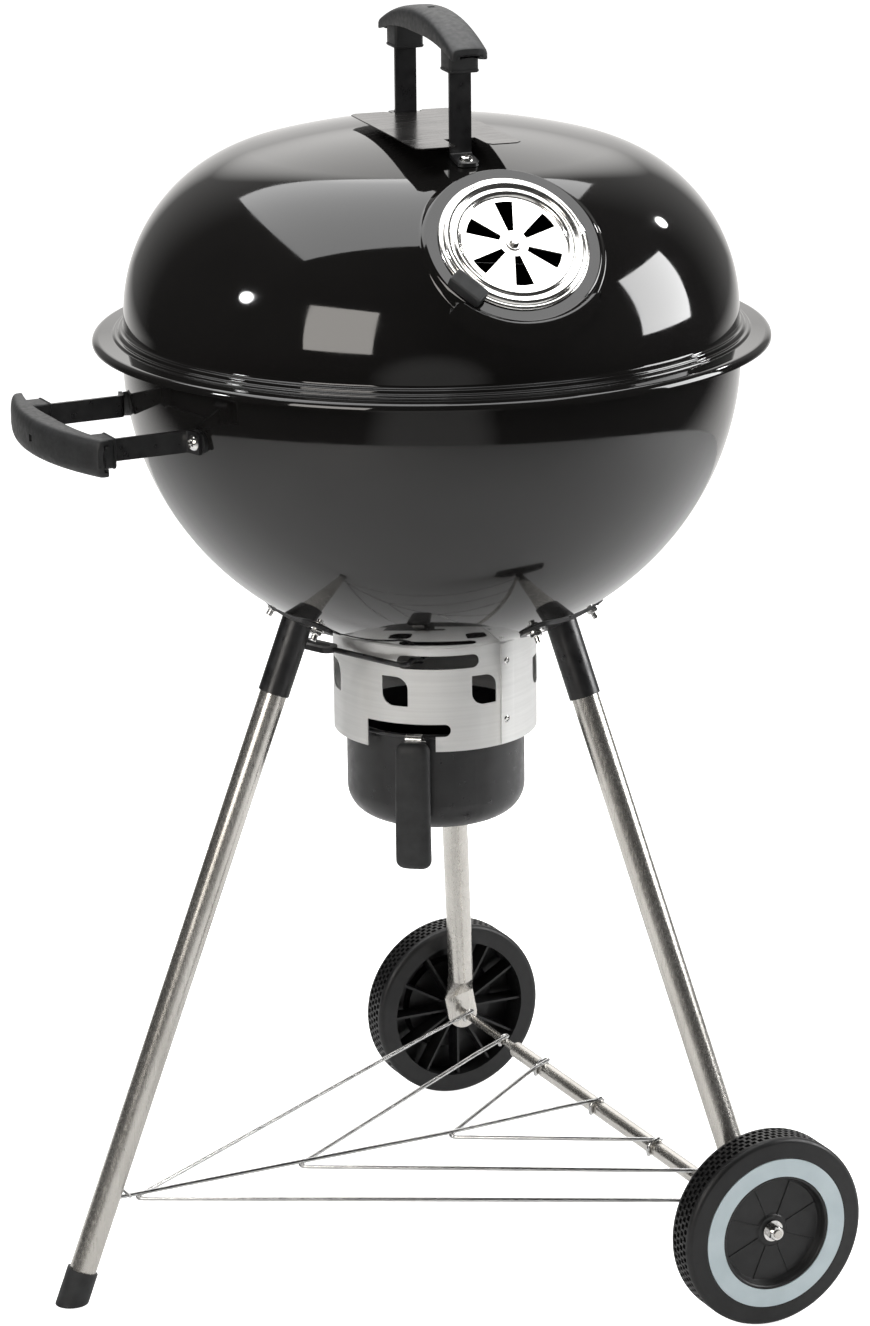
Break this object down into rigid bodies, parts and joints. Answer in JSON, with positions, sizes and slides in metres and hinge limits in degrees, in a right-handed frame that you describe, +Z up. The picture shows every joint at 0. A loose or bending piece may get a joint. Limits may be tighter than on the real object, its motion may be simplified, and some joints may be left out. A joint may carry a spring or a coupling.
{
  "type": "kettle charcoal grill",
  "caption": "Charcoal kettle grill: domed lid over a round bowl, turning air dampers, ash catcher, side handle, wire rack and wheeled tripod legs.",
  "frame": {"origin": "on the ground, under the middle of the whole grill's bounding box; the kettle's own axis stands at x = 0, y = +44.7 mm", "axes": "+Z up; +X along the wheel axle, towards the plain side of the bowl where the lid damper points; -Y towards the front leg and the bowl handle"},
  "size_m": [0.698, 0.7115, 1.193],
  "materials": {
    "enamel_black": "gloss vitreous enamel",
    "black_steel": "satin black paint",
    "chrome_tube": "bright plated tube",
    "chrome_wire": "bright plated wire",
    "zinc_fastener": "bright zinc plate",
    "satin_steel": "fine brushed",
    "polished_steel": "polished, lightly scratched",
    "shield_steel": "dark satin",
    "grip_plastic": "fine matt texture",
    "wheel_plastic": "smooth satin sidewall",
    "ring_plastic": "matt"
  },
  "bodies": {
    "root": {"bowl_shell": "enamel_black", "cooking_grate_brackets": "satin_steel", "charcoal_grate_brackets": "satin_steel", "ash_band": "satin_steel", "band_rivets": "zinc_fastener", "leg_socket_front": "black_steel", "leg_socket_right": "black_steel", "leg_socket_left": "black_steel", "leg_front": "chrome_tube", "leg_right": "chrome_tube", "leg_left": "chrome_tube", "foot_cap": "grip_plastic", "socket_bolts": "zinc_fastener", "socket_nuts": "zinc_fastener", "axle_rod": "chrome_tube", "axle_sleeve": "chrome_tube", "axle_washers": "zinc_fastener", "axle_nuts": "zinc_fastener", "wire_rack": "chrome_wire", "rack_cotter": "chrome_wire", "bowl_handle_strap_right": "black_steel", "bowl_handle_strap_left": "black_steel", "bowl_handle_bolts": "zinc_fastener", "bowl_handle_spacers": "grip_plastic", "bowl_handle_grip": "grip_plastic"},
    "lid": {"lid_shell": "enamel_black", "lid_heat_shield": "shield_steel", "lid_handle_strap_front": "black_steel", "lid_handle_strap_rear": "black_steel", "lid_handle_grip": "grip_plastic", "lid_handle_bolts": "zinc_fastener", "lid_handle_nuts": "zinc_fastener", "lid_damper_rivet": "zinc_fastener"},
    "lid_damper": {"lid_damper_disc": "polished_steel", "lid_damper_tab": "grip_plastic"},
    "bottom_damper": {"damper_blades": "satin_steel", "damper_shaft": "satin_steel", "damper_lever": "black_steel", "damper_lever_loop": "black_steel"},
    "ash_catcher_pot": {"ash_pot": "black_steel", "ash_pot_bracket": "zinc_fastener", "ash_pot_handle": "grip_plastic"},
    "cooking_grate_lift": {"cooking_grate": "chrome_wire"},
    "charcoal_grate_lift": {"charcoal_grate": "chrome_wire"},
    "wheel_right_spin": {"wheel_right": "wheel_plastic", "wheel_ring_right": "ring_plastic"},
    "wheel_left_spin": {"wheel_left": "wheel_plastic", "wheel_ring_left": "ring_plastic"}
  },
  "joints": [
    {"name": "lid_lift", "type": "slide", "parent": "root", "child": "lid", "axis": [0, 0, 1], "range_m": [0, 0.35]},
    {"name": "lid_damper_turn", "type": "hinge", "parent": "lid", "child": "lid_damper", "pos_m": [0.23158, 0.01174, 1.01271], "axis": [0.7196, -0.1024, 0.6868], "range_deg": [0, 30]},
    {"name": "bottom_damper_turn", "type": "hinge", "parent": "root", "child": "bottom_damper", "pos_m": [0, 0.0447, 0.59], "axis": [0, 0, 1], "range_deg": [0, 31]},
    {"name": "ash_pot_drop", "type": "slide", "parent": "root", "child": "ash_catcher_pot", "axis": [0, 0, -1], "range_m": [0, 0.15]},
    {"name": "cooking_grate_lift_out", "type": "slide", "parent": "root", "child": "cooking_grate_lift", "axis": [0, 0, 1], "range_m": [0, 0.02]},
    {"name": "charcoal_grate_lift_out", "type": "slide", "parent": "root", "child": "charcoal_grate_lift", "axis": [0, 0, 1], "range_m": [0, 0.12]},
    {"name": "wheel_right_roll", "type": "hinge", "parent": "root", "child": "wheel_right_spin", "pos_m": [0.327, 0.21935, 0.0911], "axis": [1, 0, 0], "continuous": true},
    {"name": "wheel_left_roll", "type": "hinge", "parent": "root", "child": "wheel_left_spin", "pos_m": [-0.327, 0.21935, 0.0911], "axis": [1, 0, 0], "continuous": true}
  ]
}
